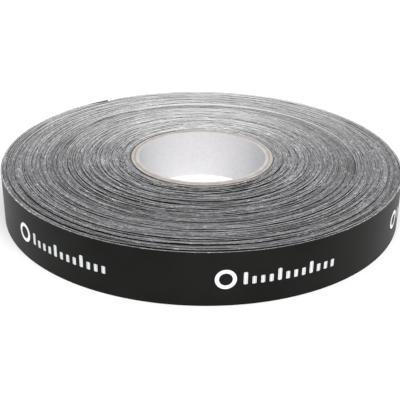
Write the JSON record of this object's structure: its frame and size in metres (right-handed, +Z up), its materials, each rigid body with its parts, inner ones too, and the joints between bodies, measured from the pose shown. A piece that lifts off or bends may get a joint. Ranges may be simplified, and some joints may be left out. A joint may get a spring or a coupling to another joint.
{
  "type": "grip tape roll",
  "caption": "Wide flat roll of smooth glossy black protective tape with a white release paper, wound on an open cardboard core.",
  "frame": {"origin": "on the axis of the core, at the bottom end of the roll", "axes": "+Z up the core's axis, out of the top end; the free end of the tape is on the back left, towards -X and +Y"},
  "size_m": [0.2365, 0.2362, 0.0308],
  "materials": {
    "core_white_paper": "smooth matt white paper, slightly grey from handling",
    "core_board": "matt tan board, fibrous on its cut end",
    "core_kraft_paper": "matt kraft paper",
    "tab_tape": "satin creped paper tape",
    "wound_edge": "cut edges of black film and white paper in fine lines, so a streaked grey, satin",
    "release_paper": "smooth coated white paper, satin",
    "adhesive": "clear tacky layer over black film, wet-looking",
    "black_film": "smooth glossy black film"
  },
  "bodies": {
    "roll": {"core_inner_liner": "core_white_paper", "core_ply_1": "core_board", "core_ply_2": "core_board", "core_ply_3": "core_board", "core_ply_4": "core_board", "core_ply_5": "core_board", "core_ply_6": "core_board", "core_ply_7": "core_board", "core_ply_8": "core_board", "core_outer_wrap": "core_kraft_paper", "starter_tab": "tab_tape", "wound_turns_band_1": "wound_edge", "wound_turns_band_2": "wound_edge", "wound_turns_band_3": "wound_edge", "wound_turns_band_4": "wound_edge", "wound_turns_band_5": "wound_edge", "wound_turns_band_6": "wound_edge", "wound_turns_band_7": "wound_edge", "wound_turns_band_8": "wound_edge", "last_turn_release_paper": "release_paper", "last_turn_adhesive": "adhesive", "last_turn_film": "black_film"},
    "tail": {"tail_adhesive": "adhesive", "tail_film": "black_film"},
    "tail_paper": {"tail_release_paper": "release_paper"}
  },
  "joints": [
    {"name": "tail_peel", "type": "hinge", "parent": "roll", "child": "tail", "pos_m": [-0.09277, 0.07379, 0], "axis": [0, 0, 1], "range_deg": [0, 75]},
    {"name": "release_paper_peel", "type": "hinge", "parent": "roll", "child": "tail_paper", "pos_m": [-0.09277, 0.07379, 0], "axis": [0, 0, 1], "range_deg": [0, 37.5]}
  ],
  "couplings": [
    {"joint": "release_paper_peel", "follows": "tail_peel", "ratio": 0.5}
  ]
}
